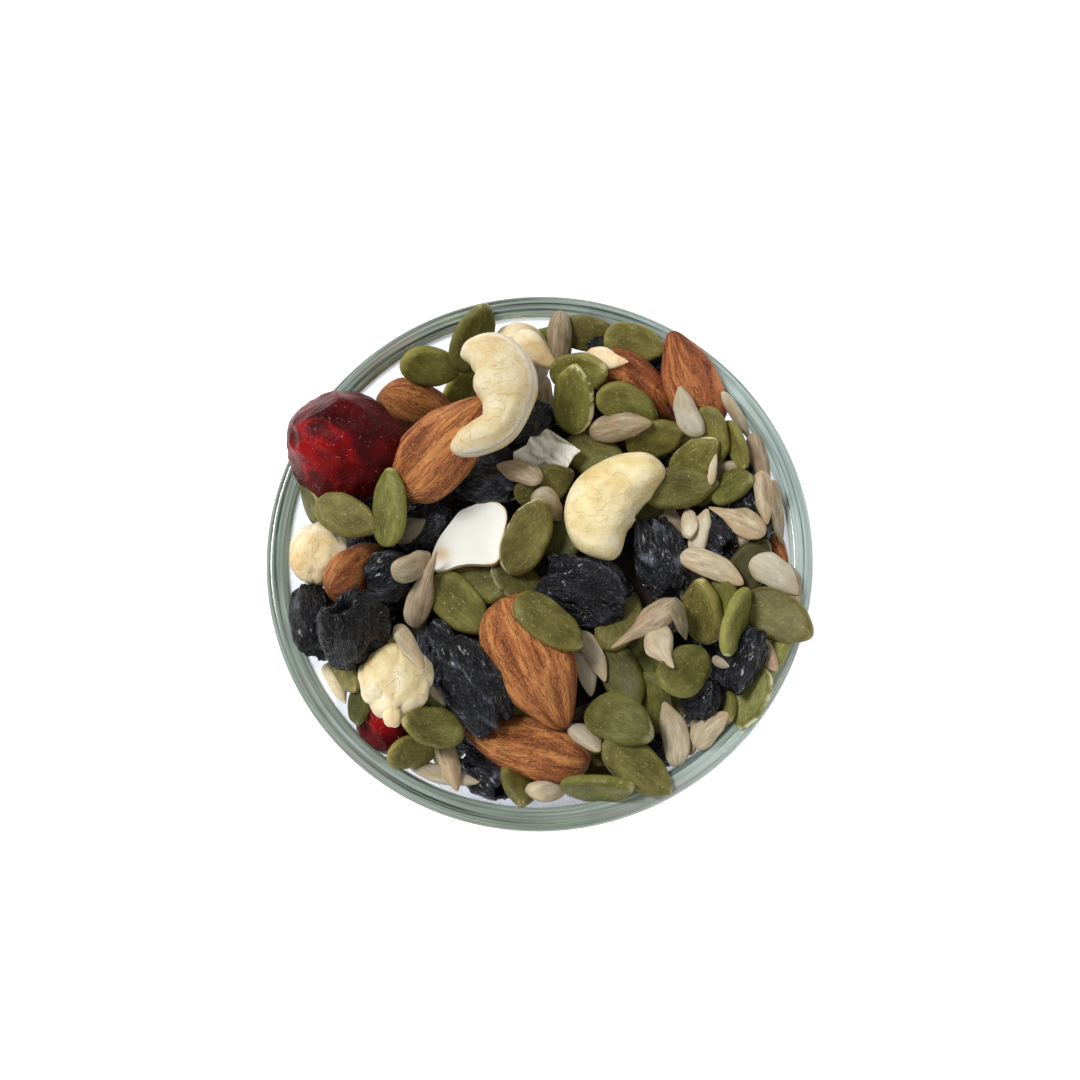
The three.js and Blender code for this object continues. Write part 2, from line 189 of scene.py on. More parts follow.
LYING = (
    # The lowest that show, in the gaps.
    Row("raisin", 487, 775, -50, 14.5, 9.5),
    Row("cranberry", 393, 722, 0, 15, 13, shade=-0.35),
    Row("pumpkin", 359, 706, -85, 9, 5, 30, shade=-0.2),
    Row("cashew", 337, 683, -65, 10, 7, spine="shard"),
    Row("pumpkin", 346, 667, -62, 13, 7, 45),
    Row("sunflower", 444, 775, -15, 13.5, 4.6),
    Row("almond", 762, 545, -50, 16, 9.5),
    Row("raisin", 748, 478, -80, 13, 8.5),
    Row("raisin", 752, 515, -80, 13, 9),
    Row("raisin", 756, 596, 80, 14, 9),
    Row("raisin", 745, 630, 60, 13, 8),
    Row("sunflower", 790, 590, -80, 11, 5),
    Row("pumpkin", 772, 650, 60, 12, 7),
    Row("raisin", 715, 440, -50, 12, 8),
    Row("raisin", 655, 367, 0, 10, 7),
    Row("raisin", 662, 752, 60, 10, 7, shade=0.3),
    Row("pumpkin", 548, 337, 10, 11, 6),
    Row("pumpkin", 590, 334, -12, 12, 7, 35),
    Row("pumpkin", 603, 772, 8, 12, 7, shade=-0.3),
    Row("pumpkin", 410, 510, 5, 12, 6.5),
    Row("raisin", 425, 527, 60, 13, 9),
    Row("pumpkin", 480, 583, -10, 14, 8, shade=-0.3),
    Row("pumpkin", 567, 535, 60, 12, 7.5, shade=-0.3),
    Row("sunflower", 727, 470, 0, 9, 4.5),
    Row("sunflower", 437, 690, -60, 8, 3.6, shade=0.1),
    Row("pumpkin", 520, 583, -40, 13, 7.5, style=-1),
    Row("sunflower", 586, 670, -75, 10, 4.5),
    Row("sunflower", 692, 578, 70, 10, 4.5),
    Row("sunflower", 668, 516, -50, 10, 4.5),
    Row("sunflower", 741, 540, 30, 6, 3, shade=0.1),
    Row("pumpkin", 640, 508, 0, 10, 6, shade=-0.3),
    Row("pumpkin", 645, 660, -60, 11, 6.5, shade=-0.3),
    Row("raisin", 606, 349, 0, 9, 6),
    Row("sunflower", 766, 655, -60, 9, 4.5),
    Row("sunflower", 408, 530, 20, 8, 4.5, shade=-0.6),
    Row("pumpkin", 463, 388, 60, 13, 7.5, shade=0.9),
    # The main layer.
    Row("pumpkin", 311, 501, -80, 9.5, 6, 60, style=1),
    Row("almond", 419, 409, -12, 19, 11),
    Row("pumpkin", 430, 366, -3, 13.5, 8, shade=0.4),
    Row("sunflower", 560, 341, -90, 12.5, 5.6, shade=-0.15),
    Row("pumpkin", 635, 343, -10, 12.5, 7.2, 20),
    Row("almond", 639, 392, -40, 21.5, 11.5),
    Row("cashew", 607, 358, -10, 9.5, 5, spine="shard"),
    Row("almond", 691, 380, 113, 20, 11.2),
    Row("sunflower", 737, 416, -56, 11.5, 2.6),
    Row("pumpkin", 736, 445, -68, 10.5, 6, 65),
    Row("pumpkin", 712, 435, -75, 11.5, 7),
    Row("sunflower", 759, 459, -72, 10.5, 4),
    Row("sunflower", 764, 497, -86, 11, 3.8),
    Row("sunflower", 777, 512, -79, 13, 3.6),
    Row("pumpkin", 733, 486, 10, 10, 7),
    Row("pumpkin", 695, 460, 35, 13, 7.5, style=1),
    Row("pumpkin", 597, 457, -30, 13.5, 8.5),
    Row("raisin", 530, 425, 50, 13, 8),
    Row("cashew", 521, 356, 0, 17.5, 8, style=75, spine="curled"),
    Row("cashew", 538, 351, -32, 12, 8, spine="shard"),
    Row("pumpkin", 580, 372, -5, 14, 8),
    Row("pumpkin", 628, 405, -22, 13.5, 8),
    Row("raisin", 482, 480, -5, 15.5, 11),
    Row("flake", 547, 450, 0, 13.3, 13.3, 0, 0),
    Row("pumpkin", 545, 485, 25, 12.5, 7.5),
    Row("sunflower", 548, 505, -50, 8.5, 5.5, shade=-0.05),
    Row("sunflower", 520, 471, 160, 9.5, 4.6),
    Row("raisin", 718, 535, -55, 12, 8),
    Row("sunflower", 700, 532, 75, 9.5, 5),
    Row("sunflower", 689, 521, 95, 9, 4.2),
    Row("pumpkin", 749, 567, 55, 12.5, 7.5, style=-1, shade=-0.5),
    Row("sunflower", 776, 574, -38, 11, 6.5),
    Row("pumpkin", 722, 603, 75, 13, 8),
    Row("pumpkin", 779, 617, -32, 15, 9),
    Row("pumpkin", 750, 697, 250, 12.5, 7.5, style=1),
    Row("pumpkin", 722, 703, -70, 11, 7, shade=-0.2),
    Row("sunflower", 698, 730, 60, 10, 4.4),
    Row("sunflower", 709, 727, 40, 9.5, 5.5, shade=0.05),
    Row("raisin", 700, 697, 60, 10, 9, shade=-0.3),
    Row("raisin", 743, 660, 68, 14.5, 8.5),
    Row("pumpkin", 735, 620, 70, 15, 8, 70, style=-1, shade=0.2),
    Row("pumpkin", 654, 703, -75, 12.5, 7, 30),
    Row("sunflower", 675, 732, 102, 13.5, 5.8, shade=0.1),
    Row("pumpkin", 622, 676, -65, 13, 8, 15, shade=-0.3),
    Row("pumpkin", 620, 620, 65, 13.5, 8),
    Row("sunflower", 594, 655, -62, 11, 4.4),
    Row("raisin", 314, 620, 95, 16.5, 10, shade=-0.3),
    Row("raisin", 441, 655, -62, 16, 9),
    Row("cashew", 395, 680, -95, 15.2, 14.2, 0, 0, spine="stub"),
    Row("cashew", 392, 717, -100, 4.2, 3.8, spine="stub", shade=0.05),
    Row("pumpkin", 414, 751, 15, 12.5, 7, 45, shade=0.15),
    Row("sunflower", 449, 764, -75, 11, 5, shade=0.15),
    Row("pumpkin", 519, 784, -82, 12, 7.5, shade=-0.3),
    Row("sunflower", 549, 788, 20, 10, 6, shade=0.2),
    Row("pumpkin", 528, 712, -28, 13, 8, shade=0.15),
    Row("almond", 526, 746, 163, 24.5, 12, 15),
    # The upper layer.
    Row("cranberry", 346, 446, -10, 24.5, 21, shade=-0.24),
    Row("almond", 443, 445, 48, 23.5, 14, 0, 8),
    Row("pumpkin", 473, 337, 65, 15.5, 8.2, shade=-0.25),
    Row("cashew", 319, 553, 80, 13, 11.6, 0, 10, spine="stub", shade=0.06),
    Row("almond", 356, 569, 50, 18, 9.5, shade=0.05),
    Row("raisin", 388, 575, 20, 10.5, 9.5, shade=0.2),
    Row("sunflower", 413, 566, 35, 10.5, 6),
    Row("pumpkin", 347, 516, -25, 13, 7.6, 0, 0),
    Row("pumpkin", 656, 439, 15, 12.5, 7.5),
    Row("sunflower", 621, 426, 3, 13, 5.8, shade=-0.1),
    Row("pumpkin", 680, 487, 5, 15, 8),
    Row("sunflower", 713, 469, 80, 6, 1.7, shade=0.3),
    Row("sunflower", 737, 518, 148, 13.5, 5.8, style=1, shade=0.15),
    Row("raisin", 661, 557, -75, 17, 10.5),
    Row("sunflower", 713, 566, -28, 13.5, 5),
    Row("pumpkin", 703, 611, 95, 13, 8.5),
    Row("pumpkin", 686, 669, 55, 15, 9, 0),
    Row("sunflower", 662, 649, -70, 13, 6.4, style=1, shade=0.2),
    Row("sunflower", 645, 625, 215, 15.5, 6.5, style=1),
    Row("sunflower", 680, 618, -68, 9.5, 3.8),
    Row("pumpkin", 638, 766, -40, 15.8, 8.4, 0, -6, shade=-0.15),
    Row("pumpkin", 597, 788, -3, 15, 8, 68, shade=0.2),
    Row("sunflower", 587, 738, -48, 10.5, 5, shade=-0.25),
    Row("pumpkin", 459, 604, -45, 14.5, 8.8),
    Row("raisin", 355, 630, 115, 16.6, 13.6, 0, 50, shade=-0.4),
    Row("raisin", 474, 682, -58, 22, 12, shade=-0.2),
    Row("sunflower", 409, 645, -63, 13.8, 4.8, shade=0.25),
    Row("pumpkin", 432, 726, 178, 14, 7.8),
    Row("sunflower", 687, 412, 112, 10.5, 5.6, shade=-0.1),
    # The topmost.
    Row("half", 469, 537, 0, 20, 20, 0, 0),
    Row("sunflower", 423, 589, 70, 16.5, 6.4, style=1, shade=0.15),
    Row("raisin", 584, 588, -20, 20, 13),
    Row("almond", 534, 662, -65, 26.8, 16, 0, shade=0.15),
    Row("pumpkin", 549, 622, -37, 15.5, 8.4),
    Row("pumpkin", 620, 720, -33, 15.4, 9.8, -10, style=1, shade=-0.7),
    Row("pumpkin", 527, 536, 65, 15.8, 8.8, style=1),
    Row("cashew", 615, 505, 0, 24.5, 12, 0, 0, -90, 0.12, "thick"),
    Row("pumpkin", 574, 398, 85, 14.6, 8.6, style=-1, shade=0.25),
    Row("cashew", 494, 394, 0, 23, 12, 0, 0, 30, -0.12, "hooked"),
    Row("pumpkin", 389, 507, 88, 15, 7.8, shade=0.12),
    Row("sunflower", 721, 663, -35, 4.8, 2, shade=-0.3),
)


# ---- small sums

def smooth(low, high, value):
    share = np.clip((value - low) / (high - low), 0, 1)
    return share * share * (3 - 2 * share)


def columns(*parts):
    return np.stack(np.broadcast_arrays(*parts), axis=-1).astype(float)


def noise(points, seed):
    """Smooth noise from 0 to 1, with about one bump for each unit of length."""
    points = points @ OBLIQUE
    cell = np.floor(points).astype(np.int64)
    part = points - cell
    part = part * part * (3 - 2 * part)
    total = np.zeros(len(points))
    for corner in np.ndindex(2, 2, 2):
        key = (cell + corner) @ np.array([73856093, 19349663, 83492791]) + seed * 912931
        key = (key ^ (key >> 13)) * 1274126177
        value = ((key ^ (key >> 16)) & 0xFFFF) / 0xFFFF
        total += value * np.prod(np.where(corner, part, 1 - part), axis=1)
    return total


def crests(points, seed):
    """Noise folded into sharp crests: 1 on a crest and 0 far from any."""
    return 1 - np.abs(2 * noise(points, seed) - 1)


def turned(heading, rise, roll):
    """The turn that rolls a piece about +X, lifts its leading end and points it, from degrees."""
    degrees = math.radians
    return np.array(
        Matrix.Rotation(degrees(heading), 3, "Z")
        @ Matrix.Rotation(-degrees(rise), 3, "Y")
        @ Matrix.Rotation(degrees(roll), 3, "X")
    )


# ---- the camera's view

def camera_axes():
    back = np.array(
        [
            math.sin(CAMERA_AZIMUTH) * math.cos(CAMERA_ELEVATION),
            -math.cos(CAMERA_AZIMUTH) * math.cos(CAMERA_ELEVATION),
            math.sin(CAMERA_ELEVATION),
        ]
    )
    up = np.array([0.0, 1.0, 0.0]) - back[1] * back
    up /= np.linalg.norm(up)
    return np.cross(up, back), up, back


def seen_at(across, down, level):
    """Where the camera's line through a pixel reaches a height: x and y."""
    right, up, back = camera_axes()
    pixel = SENSOR / LENS / PHOTO_SIDE
    middle = PHOTO_SIDE / 2
    line = right * (across - middle) * pixel + up * (middle - down) * pixel - back
    eye = CAMERA_AIM + back * CAMERA_DISTANCE
    return (eye + line * (level - eye[2]) / line[2])[:2]


# ---- the bowl's section

def lip_edges():
    """The middles of the section of the lip's two round edges: the outer and the inner."""
    outer = np.array([RIM_RADIUS - LIP_ROUNDING, BOWL_HEIGHT - LIP_ROUNDING])
    flat = (WALL - 2 * LIP_ROUNDING) / math.cos(FLARE)
    return outer, outer - (flat, 0)


def rounded_edge(middle, start, end):
    turn = np.linspace(start, end, EDGE_STEPS + 1)
    return middle + LIP_ROUNDING * columns(np.cos(turn), np.sin(turn))


def wall_curve(share):
    """Points and directions of the outer wall, at shares of the way up from the foot."""
    lip = rounded_edge(lip_edges()[0], -FLARE, 0)[0]
    foot = np.array([FOOT_RADIUS, 0.0])
    rise = math.tan(FOOT_RISE)
    inset = math.tan(FLARE)
    radius = (lip[0] - inset * lip[1] - inset * rise * foot[0]) / (1 - inset * rise)
    control = np.array([radius, rise * (radius - foot[0])])
    s = np.asarray(share)[:, None]
    place = foot * (1 - s) ** 2 + control * 2 * s * (1 - s) + lip * s**2
    along = (control - foot) * 2 * (1 - s) + (lip - control) * 2 * s
    return place, along / np.linalg.norm(along, axis=1)[:, None]


def inner_wall():
    """The inner wall from the floor's edge up to just below the lip: radius and height."""
    share = np.linspace(0, 1, WALL_STEPS + 1)[:-1]
    place, along = wall_curve(share)
    depth = BASE + (WALL - BASE) * np.minimum(1, share * 2)
    return place + columns(-along[:, 1], along[:, 0]) * depth[:, None]


def bowl_section():
    """The whole section, from the middle of the underside round to the middle of the floor."""
    outer, _ = wall_curve(np.linspace(0, 1, WALL_STEPS + 1))
    outer_edge, inner_edge = lip_edges()
    return np.vstack([
        [[0.0, 0.0], [FOOT_RADIUS - FOOT_ROUNDING, 0.0]],
        outer[1:-1],
        rounded_edge(outer_edge, -FLARE, math.pi / 2),
        rounded_edge(inner_edge, math.pi / 2, math.pi - FLARE),
        inner_wall()[::-1],
        [[0.0, BASE]],
    ])


def bowl_top(radius):
    """Height of the bowl's upper side over a radius, and far below outside the rim."""
    outer_edge, inner_edge = lip_edges()
    side = np.vstack([
        [[0.0, BASE]],
        inner_wall(),
        rounded_edge(inner_edge, math.pi - FLARE, math.pi / 2),
        rounded_edge(outer_edge, math.pi / 2, 0),
    ])
    height = np.interp(radius, side[:, 0], side[:, 1])
    return np.where(radius > RIM_RADIUS, -1000.0, height)


def glass_radius(height):
    wall = inner_wall()
    return np.interp(height, wall[:, 1], wall[:, 0])


# ---- shapes of the pieces

def ring_triangles(rings, around):
    """Triangles of a closed surface: a first point, rings of points round an axis, a last one."""
    here = np.arange(around)
    ahead = (here + 1) % around
    last = 1 + rings * around
    end = last - around
    triangles = [columns(0, 1 + ahead, 1 + here), columns(end + here, end + ahead, last)]
    for near in range(1, end, around):
        far = near + around
        triangles.append(columns(near + here, near + ahead, far + ahead))
        triangles.append(columns(near + here, far + ahead, far + here))
    return np.vstack(triangles).astype(int)


@lru_cache(maxsize=None)
def ball(along, around):
    """Points and triangles of a unit ball with its poles at -X and +X."""
    turn = np.linspace(0, math.pi, along + 1)[1:-1, None]
    ring = np.linspace(0, 2 * math.pi, around, endpoint=False)[None, :]
    rings = columns(-np.cos(turn), np.sin(turn) * np.cos(ring), np.sin(turn) * np.sin(ring))
    points = np.vstack([[[-1.0, 0.0, 0.0]], rings.reshape(-1, 3), [[1.0, 0.0, 0.0]]])
    return points, ring_triangles(along - 1, around)


def around_axis(point, lengthwise, across):
    """Noise coordinates that run along a piece and round its girth, so grain meets at its tips."""
    x, y, z = point.T
    angle = np.arctan2(z, y)
    return columns(lengthwise * x, across * np.cos(angle), across * np.sin(angle))


def quirks(seed, count):
    """Numbers from -1 to 1 that go with a seed."""
    return np.random.default_rng(seed).uniform(-1, 1, count)


def outline_reach(x, y, corners, blur):
    """How far an outline reaches from its middle towards each point, with blurred corners."""
    corners = np.array(corners)
    turn = np.arctan2(corners[:, 1], corners[:, 0])
    corners = corners[np.argsort(turn)]
    turn = np.sort(turn)
    reach = 0
    for offset in (-blur, -blur / 2, 0, blur / 2, blur):
        angle = np.angle(np.exp(1j * (np.arctan2(y, x) + offset)))
        after = np.searchsorted(turn, angle) % len(corners)
        near, far = corners[after - 1], corners[after]
        side = far - near
        cross = near[:, 0] * far[:, 1] - near[:, 1] * far[:, 0]
        reach = reach + cross / (np.cos(angle) * side[:, 1] - np.sin(angle) * side[:, 0])
    return reach / 5


def on_spine(spine, share):
    """The smooth curve through a spine's rows, at shares of its length."""
    rows = np.array(spine)
    rows = np.vstack([2 * rows[0] - rows[1], rows, 2 * rows[-1] - rows[-2]])
    place = np.clip(share, 0, 1) * (len(rows) - 3)
    step = np.minimum(place.astype(int), len(rows) - 4)
    t = (place - step)[:, None]
    a, b, c, d = (rows[step + i] for i in range(4))
    bend = (2 * a - 5 * b + 4 * c - d) * t**2 + (3 * b - a - 3 * c + d) * t**3
    return b + 0.5 * ((c - a) * t + bend)


def superellipse(x, power):
    """What makes a ball's outline blunter at its poles, by multiplying its girth."""
    x = np.clip(np.abs(x), 0, 0.9999)
    return np.sqrt((1 - x**power) / (1 - x**2))


# Each kind's function takes the points of a unit ball, the piece's size, its seed and its row,
# whether it needs them all or not. It returns the piece's points, and the marks that its
# material reads.

def almond(point, size, seed, row):
    """A drop, broad behind and pointed ahead, with long wrinkles in its skin."""
    x, y, z = point.T
    tip = smooth(0.25, 1, x)
    narrow = superellipse(x, 2.5) * (1 - 0.17 * x) * (1 - 0.26 * tip)
    warp = 1.2 * columns(noise(point * 1.7, seed + 3), noise(point * 2.6, seed + 4), 0)
    wrinkle = crests(around_axis(point, 1.1, 2.9) + warp, seed) ** 1.5
    lump = noise(point * 1.6, seed + 2)
    swell = narrow * (0.92 + 0.05 * wrinkle * (1 - 0.7 * tip) + 0.08 * lump)
    shape = columns(x + 0.06 * tip, y * swell, z * swell) * size / 2
    return shape, columns(wrinkle, 0, 0)


def cashew(point, size, seed, row):
    """A fat kernel bent along its spine, with blunt ends and a seam."""
    if row.spine == "stub":
        return cashew_end(point, size, seed)
    length, depth, _ = size
    x, y, z = point.T
    spine = SPINES[row.spine]
    share = (x + 1) / 2
    middle = on_spine(spine, share)
    ahead = on_spine(spine, share + 0.02) - on_spine(spine, share - 0.02)
    ahead /= np.hypot(ahead[:, 0], ahead[:, 1])[:, None]
    girth = np.hypot(y, z) + 1e-9
    angle = np.arctan2(z, y)
    lump = noise(point * 2.1, seed)
    dent = noise(point * 4.7, seed + 1)
    wave = 0.5 * (noise(point * 1.5, seed + 2) - 0.5)
    off_seam = np.angle(np.exp(1j * (angle - math.radians(row.style) - wave)))
    seam = np.exp(-((off_seam / 0.3) ** 2)) * smooth(1, 0.8, np.abs(x))
    groove = smooth(0.9, 1, seam)
    full = (1 - np.abs(x) ** 5) ** 0.5 * (0.93 + 0.14 * lump + 0.06 * dent + 0.02 * seam)
    swell = full * (1 - 0.025 * groove)
    side = y / girth * swell * middle[:, 2] * length
    broadest = max(width for _, _, width in spine)
    up = z / girth * swell * depth / 2 * (middle[:, 2] / broadest) ** 0.7
    if row.spine == "shard":
        up *= 0.45
    shape = columns(
        middle[:, 0] * length - ahead[:, 1] * side, middle[:, 1] * length + ahead[:, 0] * side, up
    )
    return shape, columns(seam, groove, 0)


def cashew_end(point, size, seed):
    """A broken end of a cashew: a dome split down its middle, over lobes of torn flesh."""
    x, y, z = point.T
    lump = noise(point * 2.3, seed)
    dent = noise(point * 5.1, seed + 1)
    lobe = np.abs(np.sin(2.5 * np.arctan2(y, x) + 4 * noise(point * 1.3, seed + 2))) ** 0.6
    below = z - 0.7 * x + 0.3 * (lump - 0.5)
    skirt = smooth(0.38, 0.26, below)
    groove = smooth(0.1, 0.02, np.abs(y + 0.5 * (lump - 0.5))) * (1 - skirt)
    swell = 0.8 + 0.16 * lump + 0.06 * dent + skirt * (0.14 * lobe - 0.02) - 0.03 * groove
    shape = point * swell[:, None] * size * (1, 1, 0.75) / 2
    edge = np.exp(-(((below - 0.32) / 0.04) ** 2))
    return shape, columns(0, 0.6 * np.maximum(groove, edge), skirt)


def half(point, size, seed, row):
    """A broken split kernel: a smooth flat face above and a rounded back below."""
    x, y, z = point.T
    reach = outline_reach(x, y, HALF_CORNERS, 0.16)
    across = np.hypot(x, y)
    face = smooth(0.08, 0.25, z)
    up = np.where(z > 0, face * (0.35 + 0.65 * across**3), 1.4 * z)
    shape = columns(x * reach, y * reach, up) * size / 2
    brown = np.exp(-((np.hypot(shape[:, 0] + 6.2, shape[:, 1] + 4.0) / 1.5) ** 2))
    edge = smooth(0.9, 0.97, across) * smooth(0.15, 0.5, x)
    return shape, columns(face, np.maximum(brown, edge), 0)


def cranberry(point, size, seed, row):
    """A big soft berry, dried into folds."""
    lump = noise(point * 1.4, seed)
    warp = 0.8 * lump[:, None]
    fold = crests(point * 1.7 + warp, seed + 1)
    fine = crests(point * 4.2 + warp, seed + 2)
    swell = 0.87 + 0.14 * lump + 0.07 * fold + 0.04 * fine * fold
    # Painted light: a bright red glow on one side, as if light shone through the skin there.
    thin = smooth(0.78, 0.98, point @ (-0.72, -0.3, 0.62) + 0.3 * (fine - 0.6)) * fine
    return point * swell[:, None] * size / 2, columns(thin, 0, 0)


def raisin(point, size, seed, row):
    """A shrunken berry whose folds and creases run along it into a pit at its leading end."""
    x = point[:, 0]
    lump = noise(point * 1.1, seed)
    shift = columns(lump, noise(point * 2.1, seed + 1), noise(point * 1.7, seed + 5))
    warp = around_axis(point, 0.8, 1.2) + 0.8 * shift
    fold = crests(warp * 1.4, seed + 2) ** 1.5
    crease = crests(warp * 2.8, seed + 3) ** 2
    fine = crests(warp * 6.5, seed + 4) * row.fine
    pit = smooth(0.88, 1, x)
    relief = (0.19 * fold + 0.1 * crease + 0.035 * fine) * smooth(1.03, 0.8, np.abs(x))
    swell = 0.7 + 0.2 * lump + relief - 0.4 * pit
    # Its marks are the fold and crease crests, which the skin lights with painted highlights.
    return point * swell[:, None] * size / 2, columns(fold * (1 - pit), crease * (1 - pit), 0)


def pumpkin(point, size, seed, row):
    """A flat egg, blunt at its narrow end, cushioned in its middle, with a thin edge round it."""
    x, y, z = point.T
    blunt, narrow, bow, curl, beak = quirks(seed, 5)
    outline = superellipse(x, 2.5 + 0.3 * blunt) * (1 - (0.11 + 0.06 * narrow) * x)
    outline *= 1 - (0.27 + 0.12 * beak) * smooth(0.4, 1, x)
    height = np.abs(z)
    edge = 0.36 * smooth(0, 0.07, height)
    cushion = 0.64 * smooth(0.1, 0.65, height) ** 0.7
    wave = noise(point * 1.7, seed) - 0.5
    dent = noise(point * 4.1, seed + 1) - 0.5
    up = np.sign(z) * (edge + cushion) + 0.2 * wave + 0.04 * dent * row.fine
    up += 0.5 * bow * (x * x - 0.3) + 0.25 * curl * y * y
    shape = columns(x, y * outline * (1 + 0.08 * wave), up) * size / 2
    rim = smooth(0.4, 0.15, height)
    pale = rim * smooth(-0.2, 0.4, y * row.style) if row.style else 0 * rim
    return shape, columns(pale, rim, smooth(0.86, 1, x))


def sunflower(point, size, seed, row):
    """A plump drop with a few rounded faces along it, never quite straight."""
    x, y, z = point.T
    blunt, sway, lift, faces, start, flat = quirks(seed, 6)
    tip = smooth(0.3, 1, x)
    narrow = superellipse(x, 2.7 + 0.4 * blunt) * (1 - (0.2 - 0.06 * blunt) * x)
    narrow *= (1 - 0.32 * tip) * (1 - 0.55 * smooth(-0.3, 0.5, x) * row.style)
    corner = math.pi / (4 + round(faces))
    angle = np.arctan2(z, y) + 3 * start + 0.5 * noise(point * 1.3, seed)
    face = math.cos(corner) / np.cos(np.mod(angle, 2 * corner) - corner)
    groove = crests(around_axis(point, 1.3, 4.5), seed + 1)
    lump = noise(point * 2.3, seed + 2)
    swell = narrow * (0.55 + 0.36 * face + 0.16 * lump + 0.01 * groove * row.fine)
    bow = (x * x - 0.3) * 0.3
    up = z * swell * (0.85 + 0.2 * flat) + bow * lift
    return columns(x, y * swell + bow * sway, up) * size / 2, columns(face, tip, 0)


def flake(point, size, seed, row):
    """A thin broken flake with a jagged outline, slightly curled."""
    x, y, z = point.T
    reach = outline_reach(x, y, FLAKE_CORNERS, 0.02)
    height = np.sign(z) * smooth(0, 0.25, np.abs(z)) * size[2]
    sheet = 0.1 * (x * x - y * y) + 0.06 * noise(point * 3, seed)
    shape = columns(x * reach * size[0], y * reach * size[1], height + sheet * size[0]) / 2
    return shape, columns(noise(columns(5 * (y + 0.8 * x), 1.2 * x, 0), seed + 1), 0, 0)


SHAPE_OF = dict(zip(KINDS, (almond, cashew, half, cranberry, raisin, pumpkin, sunflower, flake)))

# A piece's points, the places that its material's patterns are drawn at, its marks, its
# triangles and its seed.
Piece = namedtuple("Piece", "shape grain marks triangles seed")


def make_piece(row, seed, coarseness=1):
    """A piece lying flat, with its length along +X and its middle at 0."""
    kind = KINDS[row.kind]
    steps = math.pi / (kind.step * coarseness)
    points, triangles = ball(round(row.length / 2 * steps), round(row.width * steps))
    size = np.array([row.length, row.width, row.width * kind.thickness])
    shape, marks = SHAPE_OF[row.kind](points, size, seed, row)
    shape = shape - (shape.min(axis=0) + shape.max(axis=0)) / 2
    grain = shape
    if row.kind in GRAINED:
        grain = around_axis(points, 1, 1) * size / 2
    return Piece(shape, grain, marks, triangles, seed)


# ---- settling

class Heap:
    """The pieces placed so far, and a map of the height of their tops over the bowl."""

    def __init__(self):
        middle = np.arange(-MAP_REACH, MAP_REACH, CELL) + CELL / 2
        self.radius = np.hypot(middle[:, None], middle[None, :])
        self.top = bowl_top(self.radius)
        self.pieces = {kind: [] for kind in KINDS}

    def cells(self, points):
        spot = ((points[:, :2] + MAP_REACH) / CELL).astype(int)
        return tuple(np.clip(spot, 0, len(self.top) - 1).T)

    def resting_height(self, points):
        """The height that lowers a piece's points, taken about 0, onto what is under it."""
        room = self.top[self.cells(points)] - points[:, 2]
        return np.quantile(room, CONTACT)

    def slope(self, x, y, reach):
        """Rise of the heap's top for each millimetre along X and Y, about a place."""
        spread = np.linspace(-reach, reach, SLOPE_SPOTS)
        offsets = columns(*np.meshgrid(spread, spread)).reshape(-1, 2)
        height = self.top[self.cells(offsets + (x, y))]
        height = np.maximum(height, np.median(height) - reach)
        spots = columns(offsets[:, 0], offsets[:, 1], 1)
        return np.linalg.lstsq(spots, height, rcond=None)[0][:2]

    def lying_turns(self, x, y, row, tilts):
        """Turns to try: along the slope under the piece, and tilted from that both ways."""
        angle = math.radians(row.heading)
        ahead = np.array([math.cos(angle), math.sin(angle)])
        slope_x, slope_y = self.slope(x, y, row.length * SLOPE_REACH)
        along = math.degrees(math.atan(slope_x * ahead[0] + slope_y * ahead[1]))
        across = math.degrees(math.atan(slope_y * ahead[0] - slope_x * ahead[1]))
        rises = np.clip(along + tilts, -STEEPEST, STEEPEST) if row.rise is None else [row.rise]
        rolls = np.clip(across + tilts, -STEEPEST, STEEPEST) if row.roll is None else [row.roll]
        return [turned(row.heading, rise, roll) for rise in rises for roll in rolls]

    def add(self, row, piece, turn, x, y, level):
        press = NESTLE * row.width * KINDS[row.kind].thickness
        points = piece.shape @ turn.T + (x, y, level - press)
        np.maximum.at(self.top, self.cells(points), points[:, 2])
        self.pieces[row.kind].append((piece, points, row.shade))


def lay_on_top(heap, row, seed):
    """Lowers a piece of the top along the camera's line of sight, at its best tilt."""
    piece = make_piece(row, seed)
    sample = piece.shape[:: max(1, len(piece.shape) // SAMPLE)]
    level = BOWL_HEIGHT
    for _ in range(2):
        x, y = seen_at(row.across, row.down, level)
        tried = []
        for turn in heap.lying_turns(x, y, row, TILTS):
            tried.append((heap.resting_height(sample @ turn.T + (x, y, 0)), turn))
        level, turn = min(tried, key=lambda pair: pair[0])
    x, y = seen_at(row.across, row.down, level)
    level = heap.resting_height(piece.shape @ turn.T + (x, y, 0))
    x, y = seen_at(row.across, row.down, level)
    heap.add(row, piece, turn, x, y, level)


def mound(radius):
    """Height of the filling's top at a radius, without its lean."""
    reach = min(1, radius / (RIM_RADIUS - WALL))
    return FILL_EDGE + (FILL_MIDDLE - FILL_EDGE) * (1 - reach**FILL_ROUNDNESS)


